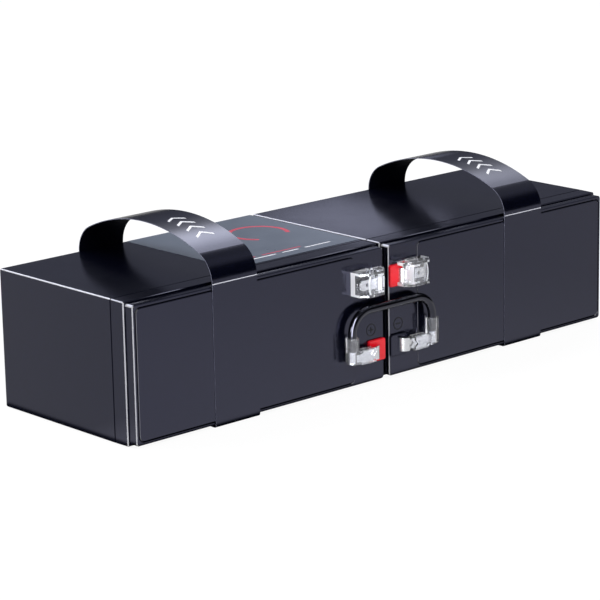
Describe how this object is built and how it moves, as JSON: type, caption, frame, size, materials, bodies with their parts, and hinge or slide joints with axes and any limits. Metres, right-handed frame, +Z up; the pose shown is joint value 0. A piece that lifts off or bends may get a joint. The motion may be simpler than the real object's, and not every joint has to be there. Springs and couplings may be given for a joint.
{
  "type": "ups battery cartridge",
  "caption": "Long replacement battery cartridge for an uninterruptible power supply: sealed lead-acid batteries end to end, a short series lead, clear terminal shrouds and film pull straps.",
  "frame": {"origin": "middle of the bounding box in plan, on the plane of the straps' underside that the cartridge stands on", "axes": "+X along the pair of batteries, +Z up, -Y the side of the lids and terminals"},
  "size_m": [0.3036, 0.1036, 0.0869],
  "materials": {
    "case_plastic": "near-black glossy ABS moulding",
    "strap_film": "black polyester film",
    "label_film": "dark grey printed film",
    "clear_plastic": "clear polycarbonate moulding",
    "tinned_brass": "tin-plated brass sheet",
    "red_resin": "red cast sealing resin",
    "black_resin": "black cast sealing resin",
    "lead_insulation": "black PVC insulation",
    "valve_rubber": "black neoprene",
    "lead": "cast lead alloy and pasted plates",
    "glass_mat": "white absorbent glass mat",
    "foam_tape": "black double-sided foam tape"
  },
  "bodies": {
    "root": {"left_container": "case_plastic", "left_lid": "case_plastic", "left_vent_cover": "case_plastic", "left_valve_caps": "valve_rubber", "left_plate_groups": "lead", "left_separators": "glass_mat", "left_positive_tab": "tinned_brass", "left_negative_tab": "tinned_brass", "left_positive_seal": "red_resin", "left_negative_seal": "black_resin", "left_terminal_shroud": "clear_plastic", "left_flag_housing": "clear_plastic", "left_flag_receptacle": "tinned_brass", "left_pull_strap": "strap_film", "right_container": "case_plastic", "right_lid": "case_plastic", "right_vent_cover": "case_plastic", "right_valve_caps": "valve_rubber", "right_plate_groups": "lead", "right_separators": "glass_mat", "right_positive_tab": "tinned_brass", "right_negative_tab": "tinned_brass", "right_positive_seal": "red_resin", "right_negative_seal": "black_resin", "right_terminal_shroud": "clear_plastic", "right_flag_housing": "clear_plastic", "right_flag_receptacle": "tinned_brass", "right_pull_strap": "strap_film", "jumper_wire": "lead_insulation", "battery_label": "label_film", "joining_foam": "foam_tape"}
  },
  "joints": []
}
